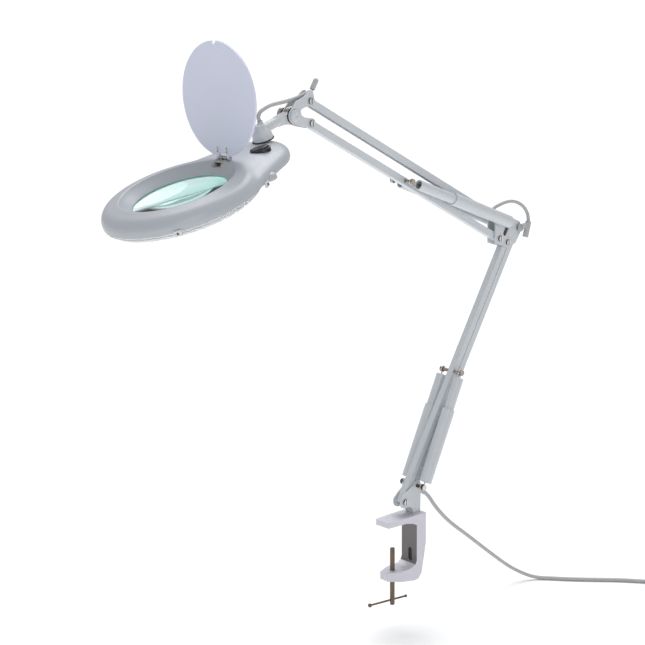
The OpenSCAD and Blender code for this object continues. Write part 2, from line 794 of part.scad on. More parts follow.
// Tube of the radius r swept along the points p
module swept_tube(p, r, sides) {
    rings = [for (i = [0 : len(p) - 1])
        let (t = run(p, i),
             side = unit(cross(t, abs(t[2]) > 0.9 ? [0, 1, 0] : [0, 0, 1])),
             up = cross(side, t))
        [for (k = [0 : sides - 1])
            p[i] + r * (cos(360 * k / sides) * side + sin(360 * k / sides) * up)]];
    last = (len(p) - 1) * sides;
    polyhedron(
        points = [for (ring = rings) each ring],
        faces = concat(
            [[for (k = [0 : sides - 1]) k]],
            [for (i = [0 : len(p) - 2], k = [0 : sides - 1])
                let (a = i * sides + k, b = i * sides + (k + 1) % sides)
                [a, a + sides, b + sides, b]],
            [[for (k = [sides - 1 : -1 : 0]) last + k]]
        )
    );
}

elbow_loop = [
    [189.5, 0, 415.8], [195.5, 0, 418], [204, 0, 422.4],
    [214, -0.5, 425.5], [225, -1.5, 428], [237, -3, 428.4], [249, -5, 425],
    [258, -8, 418], [262.6, -11, 408], [263.4, -12.3, 397]
];
head_loop = [
    [-225.5, 2, 567.3], [-226.9, 2, 571.2], [-225.2, 2, 576.4], [-219.6, 1.5, 580.6],
    [-207, 1, 585.4], [-186, 0, 588.7], [-168, 0, 592.2], [-153, 0, 596.6],
    [-144.5, 0, 599.6]
];

module elbow_cord() color("darkgray") swept_tube(sampled(elbow_loop, 2), 2.4, 10);

module head_cord() color("darkgray") swept_tube(sampled(head_loop, 2), 2.4, 10);

module mains_cord() color("darkgray") swept_tube(sampled(cord_route, 3), cord_r, 8);

module mains_coil() color("darkgray")
    translate([coil_at[0], coil_at[1], floor_z + tie_t]) rotate_extrude()
        translate([coil_mid_r - coil_w / 2, 0]) square([coil_w, coil_h]);

module coil_tie() color("black") translate([coil_at[0], coil_at[1], floor_z])
    rotate([0, 0, 170]) translate([coil_mid_r, 0, 0]) difference() {
        side = coil_w + 2 * tie_t + 0.6;
        translate([-side / 2, -4, 0]) cube([side, 8, coil_h + 2 * tie_t + 0.2]);
        translate([-side / 2 + tie_t, -5, tie_t - 0.05])
            cube([side - 2 * tie_t, 10, coil_h + 0.2]);
    }

// The tail's frame: +X runs out of the coil along the tail
module on_tail() {
    translate([coil_at[0], coil_at[1], plug_z]) rotate([0, 0, tail_deg])
        translate([tail_r, 0, 0]) rotate([0, 0, -90]) children();
}

module plug_body() color("darkgray") on_tail() {
    translate([16, 0, 0]) rotate([0, 90, 0]) cylinder(r1 = 3.3, r2 = 5, h = 24);
    translate([38, 0, -7]) linear_extrude(14) polygon([
        [0, -5.5], [4, -9], [12, -12], [18, -17.5], [30, -17.5], [31, -16.5],
        [31, 16.5], [30, 17.5], [18, 17.5], [12, 12], [4, 9], [0, 5.5]
    ]);
}

module plug_pins() color("silver") on_tail()
    for (y = [-9.3, 9.3]) rod_x(2, 69, 88, y);

// ---------------------------------------------------------------- nodes

clamp_frame();
swivel_bush();
clamp_screw();
tommy_bar();
base_yoke();
yoke_bolts();
yoke_washers();
cord_strain_relief();
lower_front_bar();
lower_rear_bar();
lower_cable_run();
lower_spring_pin();
lower_outer_covers();
lower_inner_covers();
lower_springs();
lower_spring_hooks();
lower_spring_eyes();
elbow_bracket();
elbow_bolts();
elbow_washers();
elbow_cord_clip();
elbow_cord();
upper_bottom_bar();
upper_top_bar();
upper_cable_run();
upper_spring_pin();
upper_outer_covers();
upper_inner_covers();
upper_springs();
upper_spring_hooks();
upper_spring_eyes();
head_bracket();
head_bracket_bolts();
head_bracket_washers();
head_cord_sleeve();
head_cord();
tilt_bolt();
tilt_washers();
head_stem();
stem_ring_nut();
housing_shell();
neck_plate();
lens();
lens_ring();
reflector();
ring_tube();
tube_clips();
ballast();
diffuser_ring();
diffuser_clips();
switch_frame();
switch_rocker();
lid_hinge_leaf();
lid_hinge_pin();
lens_lid();
mains_cord();
mains_coil();
coil_tie();
plug_body();
plug_pins();
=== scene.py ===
"""Looks of the magnifying lamp: its cords, shell, springs and materials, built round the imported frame.

Lengths are in metres. The arm folds in the XZ plane and the head is towards -X.
"""

import json
import math

import bmesh
import bpy
from mathutils import Matrix, Vector


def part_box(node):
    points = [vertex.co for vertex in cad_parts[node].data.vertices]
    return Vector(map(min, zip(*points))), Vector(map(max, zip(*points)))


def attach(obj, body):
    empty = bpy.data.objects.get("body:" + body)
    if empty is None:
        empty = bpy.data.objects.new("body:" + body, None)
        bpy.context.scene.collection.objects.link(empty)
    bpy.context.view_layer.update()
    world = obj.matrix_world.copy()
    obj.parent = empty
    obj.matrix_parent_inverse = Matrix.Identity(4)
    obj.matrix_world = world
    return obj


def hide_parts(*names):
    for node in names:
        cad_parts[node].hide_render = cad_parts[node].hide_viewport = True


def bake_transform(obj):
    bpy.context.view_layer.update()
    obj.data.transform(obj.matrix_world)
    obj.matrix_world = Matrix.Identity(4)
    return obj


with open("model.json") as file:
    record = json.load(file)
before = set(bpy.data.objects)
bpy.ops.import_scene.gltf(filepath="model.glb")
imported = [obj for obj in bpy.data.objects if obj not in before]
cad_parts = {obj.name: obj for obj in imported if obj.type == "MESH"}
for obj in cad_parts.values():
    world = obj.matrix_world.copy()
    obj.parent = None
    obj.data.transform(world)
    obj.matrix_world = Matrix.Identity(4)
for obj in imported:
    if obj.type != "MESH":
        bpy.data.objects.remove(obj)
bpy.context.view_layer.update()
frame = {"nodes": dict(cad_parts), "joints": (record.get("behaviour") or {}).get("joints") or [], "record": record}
scene = bpy.context.scene

MM = 0.001
JOINT = {j["name"]: j for j in frame["joints"]}
FLOOR_Z = -0.1552


def pivot(name):
    """Where a hinge turns, in the frame."""
    return Vector(JOINT[name]["pos_m"])


def mm(*point):
    """A point given in millimetres, in metres."""
    return Vector(point) * MM


# ---------------------------------------------------------------- camera and lights


CAMERA_AT = (-1.399, -1.4159, 0.6955)
CAMERA_LOOK = (0.6545, 0.7286, -0.2019)
CAMERA_ROLL = math.radians(0.5)
FOCAL_MM = 83.93
SENSOR_MM = 36


def make_camera():
    """Camera at the viewing angle wanted, level but for half a degree of roll."""
    look = Vector(CAMERA_LOOK).normalized()
    level = look.cross(Vector((0, 0, 1))).normalized()
    above = level.cross(look)
    right = level * math.cos(CAMERA_ROLL) - above * math.sin(CAMERA_ROLL)
    up = above * math.cos(CAMERA_ROLL) + level * math.sin(CAMERA_ROLL)
    data = bpy.data.cameras.new("camera")
    data.lens = FOCAL_MM
    data.sensor_width = SENSOR_MM
    camera = bpy.data.objects.new("camera", data)
    turn = Matrix((right, up, -look)).transposed().to_4x4()
    camera.matrix_world = Matrix.Translation(CAMERA_AT) @ turn
    scene.collection.objects.link(camera)
    scene.camera = camera


SURROUND_LIGHT = 0.46
SURROUND_SEEN = 1.03
SURROUND_COLOUR = (0.97, 0.98, 1, 1)
SKY_STRENGTH = 2.35
SKY_SPREAD = math.radians(55)
SKY_FROM = (0.35, 0.3, 1)
FLOOR_SIDE = 60


def soft_light(name, place, target, size, power):
    """Square soft box at a place, aimed at a target."""
    data = bpy.data.lights.new(name, "AREA")
    data.size = size
    data.energy = power
    light = bpy.data.objects.new(name, data)
    aim = (Vector(target) - Vector(place)).to_track_quat("-Z", "Y")
    light.matrix_world = Matrix.Translation(place) @ aim.to_matrix().to_4x4()
    scene.collection.objects.link(light)


def make_studio():
    """White surround, soft lights and a plain pale floor."""
    scene.view_settings.view_transform = "Standard"
    world = bpy.data.worlds.new("studio")
    scene.world = world
    world.use_nodes = True
    light_surround(world.node_tree)
    sun = bpy.data.lights.new("sky_light", "SUN")
    sun.energy = SKY_STRENGTH
    sun.angle = SKY_SPREAD
    lamp = bpy.data.objects.new("sky_light", sun)
    lamp.rotation_euler = Vector(SKY_FROM).to_track_quat("Z", "Y").to_euler()
    scene.collection.objects.link(lamp)
    soft_light("side_light", (-1.6, -1.9, 1.3), (-0.1, 0, 0.35), size=0.9, power=9)
    bpy.ops.mesh.primitive_plane_add(size=FLOOR_SIDE, location=(0, 0, FLOOR_Z))
    floor = bpy.context.object
    floor.name = "floor"
    floor.data.materials.append(plain_floor())


def light_surround(tree):
    """White surround, shown to the camera brighter than it lights the object."""
    back = tree.nodes["Background"]
    back.inputs["Color"].default_value = SURROUND_COLOUR
    path = tree.nodes.new("ShaderNodeLightPath")
    level = tree.nodes.new("ShaderNodeMapRange")
    level.inputs["To Min"].default_value = SURROUND_LIGHT
    level.inputs["To Max"].default_value = SURROUND_SEEN
    tree.links.new(path.outputs["Is Camera Ray"], level.inputs["Value"])
    tree.links.new(level.outputs["Result"], back.inputs["Strength"])


def plain_floor():
    """Pale matt floor."""
    material = bpy.data.materials.new("floor_white")
    material.use_nodes = True
    shader = material.node_tree.nodes["Principled BSDF"]
    shader.inputs["Base Color"].default_value = (0.97, 0.97, 0.97, 1)
    shader.inputs["Roughness"].default_value = 0.9
    shader.inputs["Specular IOR Level"].default_value = 0.1
    return material


# ---------------------------------------------------------------- materials


class Nodes:
    """Short forms for building a material's nodes."""

    def __init__(self, name):
        self.material = bpy.data.materials.new(name)
        self.material.use_nodes = True
        self.tree = self.material.node_tree
        self.shader = self.tree.nodes["Principled BSDF"]
        place = self.tree.nodes.new("ShaderNodeTexCoord")
        self.place = place.outputs["Object"]

    def add(self, kind, **inputs):
        """A node with some of its inputs set or linked."""
        node = self.tree.nodes.new(kind)
        for key, value in inputs.items():
            socket = node.inputs[key.replace("_", " ")]
            if hasattr(value, "is_output"):
                self.tree.links.new(value, socket)
            else:
                socket.default_value = value
        return node

    def noise(self, scale, detail=3.0, stretch=(1, 1, 1)):
        """Noise from 0 to 1, its grains drawn out by stretch."""
        mapping = self.add("ShaderNodeMapping", Vector=self.place, Scale=stretch)
        noise = self.add(
            "ShaderNodeTexNoise",
            Vector=mapping.outputs["Vector"],
            Scale=scale,
            Detail=detail,
        )
        return noise.outputs["Fac"]

    def ramp(self, value, low, high):
        """The value's middle range spread from low to high."""
        node = self.add("ShaderNodeMapRange", Value=value)
        node.inputs["From Min"].default_value = 0.3
        node.inputs["From Max"].default_value = 0.7
        node.inputs["To Min"].default_value = low
        node.inputs["To Max"].default_value = high
        return node.outputs["Result"]

    def mix(self, value, first, second):
        """Colour between first and second."""
        node = self.tree.nodes.new("ShaderNodeMix")
        node.data_type = "RGBA"
        self.tree.links.new(value, node.inputs[0])
        for socket, colour in ((node.inputs[6], first), (node.inputs[7], second)):
            if hasattr(colour, "is_output"):
                self.tree.links.new(colour, socket)
            else:
                socket.default_value = (*colour, 1)
        return node.outputs[2]

    def bump(self, height, strength, distance=0.0002):
        """Relief on the surface."""
        node = self.add("ShaderNodeBump", Height=height, Strength=strength)
        node.inputs["Distance"].default_value = distance
        self.tree.links.new(node.outputs["Normal"], self.shader.inputs["Normal"])

    def link(self, output, name):
        """Links an output to one of the shader's inputs."""
        self.tree.links.new(output, self.shader.inputs[name])

    def fix(self, **values):
        """Sets inputs of the shader that are the same all over."""
        for key, value in values.items():
            self.shader.inputs[key.replace("_", " ")].default_value = value


def shaded(colour, factor):
    """A colour made lighter or darker."""
    return tuple(min(1.0, c * factor) for c in colour)


def paint(name, colour, rough=0.35, coat=0.25):
    """Baked enamel on sheet steel: faint orange peel and slow mottling."""
    n = Nodes(name)
    base = n.mix(n.noise(35), shaded(colour, 0.95), shaded(colour, 1.04))
    speck = n.ramp(n.noise(700, 2.0), 0.0, 0.12)
    n.link(n.mix(speck, base, shaded(colour, 0.8)), "Base Color")
    n.link(n.ramp(n.noise(140), rough - 0.05, rough + 0.08), "Roughness")
    n.fix(Coat_Weight=coat, Coat_Roughness=0.22)
    n.bump(n.noise(900, 2.0), 0.12)
    return n.material


def plastic(name, colour, rough=0.42, grain=0.1):
    """Moulded plastic: fine spark grain and slow changes of tone."""
    n = Nodes(name)
    n.link(n.mix(n.noise(22), shaded(colour, 0.97), shaded(colour, 1.025)), "Base Color")
    n.link(n.ramp(n.noise(260), rough - 0.04, rough + 0.06), "Roughness")
    n.bump(n.noise(1600, 2.0), grain)
    return n.material


def steel(name, colour, rough=0.25, stretch=(1, 1, 1), scratch=0.15):
    """Plated or drawn steel: streaks and a cloudy tone."""
    n = Nodes(name)
    cloudy = n.mix(n.noise(60, 5.0), shaded(colour, 0.75), shaded(colour, 1.2))
    n.link(cloudy, "Base Color")
    streaks = n.noise(420, 4.0, stretch)
    n.link(n.ramp(streaks, rough - 0.1, rough + 0.15), "Roughness")
    n.fix(Metallic=1.0)
    n.bump(streaks, scratch)
    return n.material


def jacket(name, colour):
    """Flexible cord jacket: soft satin with a faint drawn grain."""
    n = Nodes(name)
    n.link(n.mix(n.noise(90), shaded(colour, 0.93), shaded(colour, 1.05)), "Base Color")
    n.link(n.ramp(n.noise(500), 0.42, 0.58), "Roughness")
    n.bump(n.noise(1200, 3.0), 0.18)
    return n.material


def rubber(name, colour):
    """Matt rubber with a dusty bloom."""
    n = Nodes(name)
    n.link(n.mix(n.noise(160), colour, shaded(colour, 2.2)), "Base Color")
    n.link(n.ramp(n.noise(300), 0.6, 0.8), "Roughness")
    n.bump(n.noise(1500, 4.0), 0.3)
    return n.material


def clear(name, colour, rough, weight):
    """Clear plastic with faint smears on its surface."""
    n = Nodes(name)
    n.link(n.mix(n.noise(30), colour, shaded(colour, 0.97)), "Base Color")
    n.link(n.ramp(n.noise(90, 4.0), rough, rough + 0.03), "Roughness")
    n.fix(Transmission_Weight=weight, IOR=1.49)
    n.bump(n.noise(60, 1.0), 0.02)
    return n.material


LENS_NEAR = (0.36, 0.8, 0.7)
LENS_FAR = (0.82, 0.96, 0.95)
LENS_TINT_REACH = 0.05


def tinted_lens(name):
    """Lens glass, its green cast deepening from the far side to the near side."""
    n = Nodes(name)
    split = n.add("ShaderNodeSeparateXYZ", Vector=n.place)
    across = n.add("ShaderNodeMapRange", Value=split.outputs["Y"])
    across.inputs["From Min"].default_value = -LENS_TINT_REACH
    across.inputs["From Max"].default_value = LENS_TINT_REACH
    n.link(n.mix(across.outputs["Result"], LENS_NEAR, LENS_FAR), "Base Color")
    n.link(n.ramp(n.noise(90, 4.0), 0.0, 0.02), "Roughness")
    n.fix(Transmission_Weight=1.0, IOR=1.52)
    return n.material


def make_materials():
    """Every finish, by its slot's name or by its own."""
    return {
        "clamp_paint": paint("clamp_enamel", (0.64, 0.63, 0.7), 0.3, 0.4),
        # painted shade: the clamp back's inner face and its slot are darkened in colour, standing in for the shade
        # between the jaws
        "clamp_recess_shade": paint("clamp_recess_painted_shade", (0.17, 0.16, 0.16), 0.55, 0.0),
        "painted_slot_shadow": paint("clamp_slot_shadow", (0.05, 0.048, 0.055), 0.6, 0.0),
        "arm_paint": paint("arm_enamel", (0.56, 0.59, 0.62), 0.36),
        "stem_steel": paint("stem_enamel", (0.56, 0.59, 0.605), 0.22, 0.5),
        "dark_steel": steel("dark_zinc", (0.13, 0.115, 0.1), 0.26),
        "washer_chrome": steel("washer_chrome", (0.5, 0.47, 0.44), 0.14),
        "bronzed_steel": steel("browned_steel", (0.17, 0.13, 0.1), 0.32, (1, 1, 0.05), 0.3),
        "spring_steel": steel("spring_steel", (0.55, 0.54, 0.52), 0.24),
        "nylon": plastic("natural_nylon", (0.72, 0.72, 0.69), 0.45),
        "cord_jacket": jacket("grey_jacket", (0.43, 0.435, 0.435)),
        "plug_plastic": plastic("plug_grey", (0.42, 0.425, 0.43), 0.5, 0.2),
        "plug_brass": steel("plug_brass", (0.72, 0.56, 0.3), 0.22),
        "tie_black": rubber("tie_black", (0.012, 0.012, 0.013)),
        "shell_plastic": plastic("shell_grey", (0.42, 0.44, 0.48), 0.34, 0.06),
        "lid_plastic": plastic("lid_lavender", (0.63, 0.655, 0.785), 0.42, 0.05),
        "lens_glass": tinted_lens("lens_glass"),
        "lens_edge": plastic("lens_ground_edge", (0.12, 0.34, 0.3), 0.5, 0.2),
        "seat_green": plastic("lens_seat", (0.3, 0.68, 0.58), 0.4, 0.1),
        # painted highlight: lighter steel for the bolts' flat end faces
        "bolt_face_highlight": steel("bolt_face_highlight", (0.66, 0.64, 0.61), 0.3),
        "pin_bronze": steel("pin_bronze", (0.36, 0.31, 0.27), 0.17),
        "white_plastic": plastic("white_plastic", (0.6, 0.61, 0.63), 0.35),
        "tube_glass": plastic("phosphor_tube", (0.86, 0.86, 0.83), 0.12, 0.02),
        "clear_cover": clear("clear_cover", (0.95, 0.97, 0.98), 0.12, 0.75),
        "ballast_case": paint("ballast_case", (0.3, 0.38, 0.37), 0.4),
        "black_plastic": plastic("gloss_black", (0.006, 0.006, 0.007), 0.08, 0.02),
        "washer_rubber": rubber("washer_rubber", (0.012, 0.01, 0.009)),
    }


# ---------------------------------------------------------------- mesh helpers


def mesh_piece(name, points, faces, finish, body=None):
    """New smooth piece from points and faces, riding on a body if one is given."""
    data = bpy.data.meshes.new(name)
    data.from_pydata([tuple(p) for p in points], [], faces)
    data.update()
    tidy = bmesh.new()
    tidy.from_mesh(data)
    bmesh.ops.recalc_face_normals(tidy, faces=tidy.faces)
    tidy.to_mesh(data)
    tidy.free()
    for polygon in data.polygons:
        polygon.use_smooth = True
    piece = bpy.data.objects.new(name, data)
    scene.collection.objects.link(piece)
    data.materials.append(MATERIAL[finish])
    if body:
        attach(piece, body)
    return piece


def grid_faces(rows, columns, close_rows=False):
    """Quads between closed rows of points."""
    faces = []
    for i in range(rows if close_rows else rows - 1):
        for k in range(columns):
            a = i * columns + k
            b = i * columns + (k + 1) % columns
            c = ((i + 1) % rows) * columns + (k + 1) % columns
            d = ((i + 1) % rows) * columns + k
            faces.append((a, b, c, d))
    return faces


def rounded(outline, radius, steps=4):
    """Closed 2D outline with its corners rounded."""
    result = []
    count = len(outline)
    for i, corner in enumerate(outline):
        here = Vector(corner)
        before = Vector(outline[i - 1]) - here
        after = Vector(outline[(i + 1) % count]) - here
        reach = min(radius, 0.45 * before.length, 0.45 * after.length)
        start = here + before.normalized() * reach
        end = here + after.normalized() * reach
        for k in range(steps + 1):
            t = k / steps
            result.append((1 - t) ** 2 * start + 2 * t * (1 - t) * here + t * t * end)
    return result


def lathe(name, outline, finish, body, place, segments=96):
    """Closed 2D outline of (radius, height) turned round the Z axis of place."""
    points = []
    for k in range(segments):
        a = 2 * math.pi * k / segments
        for r, z in outline:
            points.append(place @ Vector((r * math.cos(a), r * math.sin(a), z)))
    faces = grid_faces(segments, len(outline), close_rows=True)
    return mesh_piece(name, points, faces, finish, body)


RING_SIDES = 56


def ring_loop(name, profile, shape, place, body, finish="black_plastic"):
    """Rings of one rounded outline, scaled and raised as the profile says."""
    half_x, half_y, power = shape
    points = []
    for scale, z in profile:
        for k in range(RING_SIDES):
            a = 2 * math.pi * k / RING_SIDES
            c, s = math.cos(a), math.sin(a)
            x = scale * half_x * math.copysign(abs(c) ** (2 / power), c)
            y = scale * half_y * math.copysign(abs(s) ** (2 / power), s)
            points.append(place @ Vector((x, y, z)))
    return mesh_piece(name, points, grid_faces(len(profile), RING_SIDES), finish, body)


def close_ends(piece, profile):
    """Closes the first and last ring of a ring loop."""
    mesh = bmesh.new()
    mesh.from_mesh(piece.data)
    mesh.verts.ensure_lookup_table()
    last = (len(profile) - 1) * RING_SIDES
    mesh.faces.new([mesh.verts[k] for k in reversed(range(RING_SIDES))])
    mesh.faces.new([mesh.verts[last + k] for k in range(RING_SIDES)])
    bmesh.ops.recalc_face_normals(mesh, faces=mesh.faces)
    mesh.to_mesh(piece.data)
    mesh.free()
    for polygon in piece.data.polygons:
        polygon.use_smooth = True


def smooth_curve(route, per_span):
    """Points on a smooth curve through the route."""
    last = len(route) - 1
    points = []
    for k in range(last * per_span + 1):
        i = min(k // per_span, last - 1)
        t = k / per_span - i
        a = Vector(route[max(i - 1, 0)])
        b = Vector(route[i])
        c = Vector(route[i + 1])
        d = Vector(route[min(i + 2, last)])
        points.append(
            0.5
            * (
                2 * b
                + (c - a) * t
                + (2 * a - 5 * b + 4 * c - d) * t**2
                + (3 * b - a - 3 * c + d) * t**3
            )
        )
    return points


def sweep(points, radii, sides):
    """Points and faces of a closed tube along a path, its frame carried without twist."""
    rings = []
    side = None
    for i, here in enumerate(points):
        ahead = points[min(i + 1, len(points) - 1)] - points[max(i - 1, 0)]
        ahead.normalize()
        if side is None:
            side = ahead.orthogonal()
        side = (side - ahead * side.dot(ahead)).normalized()
        up = ahead.cross(side)
        for k in range(sides):
            a = 2 * math.pi * k / sides
            rings.append(here + radii[i] * (math.cos(a) * side + math.sin(a) * up))
    faces = grid_faces(len(points), sides)
    faces.append(tuple(range(sides)))
    end = (len(points) - 1) * sides
    faces.append(tuple(end + k for k in reversed(range(sides))))
    return rings, faces


def tube(name, points, radius, finish, body=None, sides=12):
    """Tube of one radius along a path, its ends slightly rounded."""
    radii = [radius] * len(points)
    radii[0] = radii[-1] = 0.86 * radius
    rings, faces = sweep(points, radii, sides)
    return mesh_piece(name, rings, faces, finish, body)


# ---------------------------------------------------------------- cords

CORD_R = 0.00275
THIN_CORD_R = 0.0024
CORD_ROUTE = [
    (64, 0, 30.4), (67.8, 0, 27.4), (75, 0, 19.4), (84.5, 0, 7), (97, 0, -7),
    (113, 0, -22.5), (133, 0, -38.8), (157, 0, -57.2), (185, 0, -79.4),
    (212, 0, -100.5), (235, 0, -118), (254, -1, -131.5), (270, -5, -141.5),
    (283, -12, -148.5), (294, -21, -151.8), (304, -32, -152.25),
    (317, -48, -152.25), (333, -66, -152.25), (353, -87, -152.25),
    (377, -112, -152.25), (402, -144, -152.25), (415, -160, -152.25),
    (428, -174, -152.25),
]
ELBOW_LOOP = [
    (189.5, 0, 415.8), (195.5, 0, 418), (204, 0, 422.4), (214, -0.5, 425.5),
    (225, -1.5, 428), (237, -3, 428.4), (249, -5, 425), (258, -8, 418),
    (262.6, -11, 408), (263.4, -12.3, 397),
]
HEAD_LOOP = [
    (-225.5, 2, 567.3), (-226.9, 2, 571.2), (-225.2, 2, 576.4), (-219.6, 1.5, 580.6),
    (-207, 1, 585.4), (-186, 0, 588.7), (-168, 0, 592.2), (-153, 0, 596.6),
    (-144.5, 0, 599.6),
]
COIL_AT = Vector((400, -203, 0)) * MM
COIL_OUT_R = 0.0404
COIL_IN_R = 0.0236
COIL_STEP = 0.0056
COIL_START = math.radians(41)
COIL_TAIL = math.radians(-54)
COIL_TAIL_R = 0.0386
COIL_HOLD = 0.3
PLUG_Z = FLOOR_Z + 0.007
TAIL_RUN = 0.018


def ease(t):
    """Smooth step from 0 to 1."""
    t = min(1.0, max(0.0, t))
    return t * t * (3 - 2 * t)


def coil_points():
    """Two flat layers of turns: inwards on the floor, then outwards on top of them."""
    first = (COIL_OUT_R - COIL_IN_R) / COIL_STEP
    second = (COIL_TAIL_R - COIL_IN_R) / COIL_STEP
    hold = COIL_HOLD
    whole = hold + first + hold + second
    angle_left = (COIL_START - COIL_TAIL) / (2 * math.pi) % 1.0
    turns = math.floor(whole) + angle_left
    if turns > whole + 0.5:
        turns -= 1
    second = turns - 2 * hold - first
    low = FLOOR_Z + CORD_R
    points = []
    per_turn = 28
    steps = int(turns * per_turn)
    for k in range(1, steps + 1):
        t = turns * k / steps
        if t < hold + first:
            r = COIL_OUT_R - COIL_STEP * max(0.0, t - hold)
            z = low
        else:
            past = t - hold - first
            z = low + COIL_STEP * ease(past / hold)
            r = COIL_IN_R + (COIL_TAIL_R - COIL_IN_R) * max(0.0, past - hold) / second
        a = COIL_START - 2 * math.pi * t
        points.append(COIL_AT + Vector((r * math.cos(a), r * math.sin(a), z)))
    return points


def tail_points(start):
    """The short straight run from the coil into the plug's relief."""
    away = Vector((math.sin(COIL_TAIL), -math.cos(COIL_TAIL), 0))
    points = []
    for k in range(1, 5):
        t = k / 4
        point = start + away * TAIL_RUN * t
        point.z = start.z + (PLUG_Z - start.z) * ease(t)
        points.append(point)
    return points


def make_mains_cord():
    """The whole mains cord: free run, coil and tail."""
    path = smooth_curve([mm(*p) for p in CORD_ROUTE], 5)
    path += coil_points()
    path += tail_points(path[-1])
    cord = tube("mains_cord_jacket", path, CORD_R, "cord_jacket", sides=12)
    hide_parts("mains_cord", "mains_coil")
    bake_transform(cord)


def make_loop(name, node, route):
    """A short loop of cord across one joint."""
    path = smooth_curve([mm(*p) for p in route], 8)
    cord = tube(name, path, THIN_CORD_R, "cord_jacket", sides=14)
    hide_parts(node)
    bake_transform(cord)


# ---------------------------------------------------------------- springs

SPRING_R = 0.0046
WIRE_R = 0.0008
COIL_PITCH = 2.35 * WIRE_R
STEPS_PER_TURN = 11


def cad_line(node, axis, side):
    """Ends of the centre line of a CAD tube along an axis, on one side of the arm."""
    vertices = frame["nodes"][node].data.vertices
    points = [v.co.copy() for v in vertices if v.co.y * side > 0]
    reach = [p.dot(axis) for p in points]
    across = axis.cross(Vector((0, 1, 0)))
    offset = [p.dot(across) for p in points]
    middle = (min(offset) + max(offset)) / 2
    y = (min(p.y for p in points) + max(p.y for p in points)) / 2
    base = across * middle + Vector((0, y, 0))
    return base + axis * min(reach), base + axis * max(reach)


def make_springs(name, node, slide):
    """Close-wound tension springs on both sides, stretched between the two covers."""
    axis = Vector(JOINT[slide]["axis"]).normalized()
    points, faces = [], []
    for side in (1, -1):
        start, end = cad_line(node, axis, side)
        rings, quads = sweep(*helix(start, end), 6)
        faces += [tuple(i + len(points) for i in f) for f in quads]
        points += rings
    piece = mesh_piece(name, points, faces, "spring_steel")
    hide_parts(node)
    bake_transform(piece)


def helix(start, end):
    """Path and wire radii of a coil spring between two points."""
    axis = end - start
    length = axis.length
    axis.normalize()
    side = axis.orthogonal().normalized()
    up = axis.cross(side)
    turns = length / COIL_PITCH
    steps = int(turns * STEPS_PER_TURN)
    path = []
    for k in range(steps + 1):
        a = 2 * math.pi * turns * k / steps
        across = math.cos(a) * side + math.sin(a) * up
        path.append(start + axis * length * k / steps + SPRING_R * across)
    return path, [WIRE_R] * len(path)


# ---------------------------------------------------------------- lamp head

HEAD_AXIS = Vector(JOINT["head_swivel"]["axis"]).normalized()
HEAD_X = Vector((HEAD_AXIS.z, 0, -HEAD_AXIS.x))
TILT_IN_HEAD = mm(192, 0, 8)
POST_X = 0.140


def head_place():
    """Matrix of the head's own frame: x to the neck, z out of the lens well."""
    y = HEAD_AXIS.cross(HEAD_X)
    turn = Matrix((HEAD_X, y, HEAD_AXIS)).transposed().to_4x4()
    origin = pivot("head_tilt") - HEAD_X * TILT_IN_HEAD.x - HEAD_AXIS * TILT_IN_HEAD.z
    return Matrix.Translation(origin) @ turn


MAIN_R = 0.0975
LOBE_R = 0.060
LOBE_X = 0.098
RIM_R = 0.0705
DROP = 0.0215
CREST_R = 0.076
BASE_Z = -0.018
WALL = 0.0025
SKIN = 0.0002
SHELL_LOW = -0.0205


def inside(x, y):
    """Distance in from the head's outline: two circles and the strips between them."""
    slope = (MAIN_R - LOBE_R) / LOBE_X
    level = math.sqrt(1 - slope * slope)
    y = abs(y)
    along = x * level - y * slope
    if along < 0:
        return MAIN_R - math.hypot(x, y)
    if along > LOBE_X * level:
        return LOBE_R - math.hypot(x - LOBE_X, y)
    return MAIN_R - (x * slope + y * level)


def outline_point(a, d):
    """Point on the outline drawn in by d, in the direction a from the ring's centre."""
    lo, hi = 0.0, 0.2
    for _ in range(32):
        r = (lo + hi) / 2
        if inside(r * math.cos(a), r * math.sin(a)) > d:
            lo = r
        else:
            hi = r
    return lo


def roll(t):
    """Height of the rounded edge, t from 0 at the crest to 1 at the outer wall."""
    return math.sqrt(max(0.0, 1 - min(1.0, max(0.0, t)) ** 2))


def shell_height(x, y):
    """Top surface: the ring's roll and the lower neck, joined by a soft valley."""
    r = math.hypot(x, y)
    ring = BASE_Z + 0.0185 * roll((r - CREST_R) / DROP) if r < MAIN_R else -0.03
    ring -= 0.0011 * math.exp(-(((r - 0.0805) / 0.0048) ** 2))
    depth = inside(x, y)
    rise = 0.0140 + 0.0018 * ease((depth - 0.014) / 0.014)
    neck = BASE_Z + rise * roll((DROP - depth) / DROP)
    neck -= 0.0012 * math.exp(-(((r - 0.091) / 0.006) ** 2))
    blend = 0.0022
    h = max(0.0, 1 - abs(ring - neck) / blend)
    return max(ring, neck) + h * h * blend / 4


WELL_PROFILE = (
    (0.0709, 0.0002), (0.0704, -0.0006), (0.0645, -0.0063), (0.0585, -0.0116),
    (0.0580, -0.0121), (0.0580, -0.0131), (0.0637, -0.0131), (0.0637, -0.0200),
    (0.0665, -0.0205),
)
SEAT_DEPTH = -0.0125
SEAT_R = 0.0645


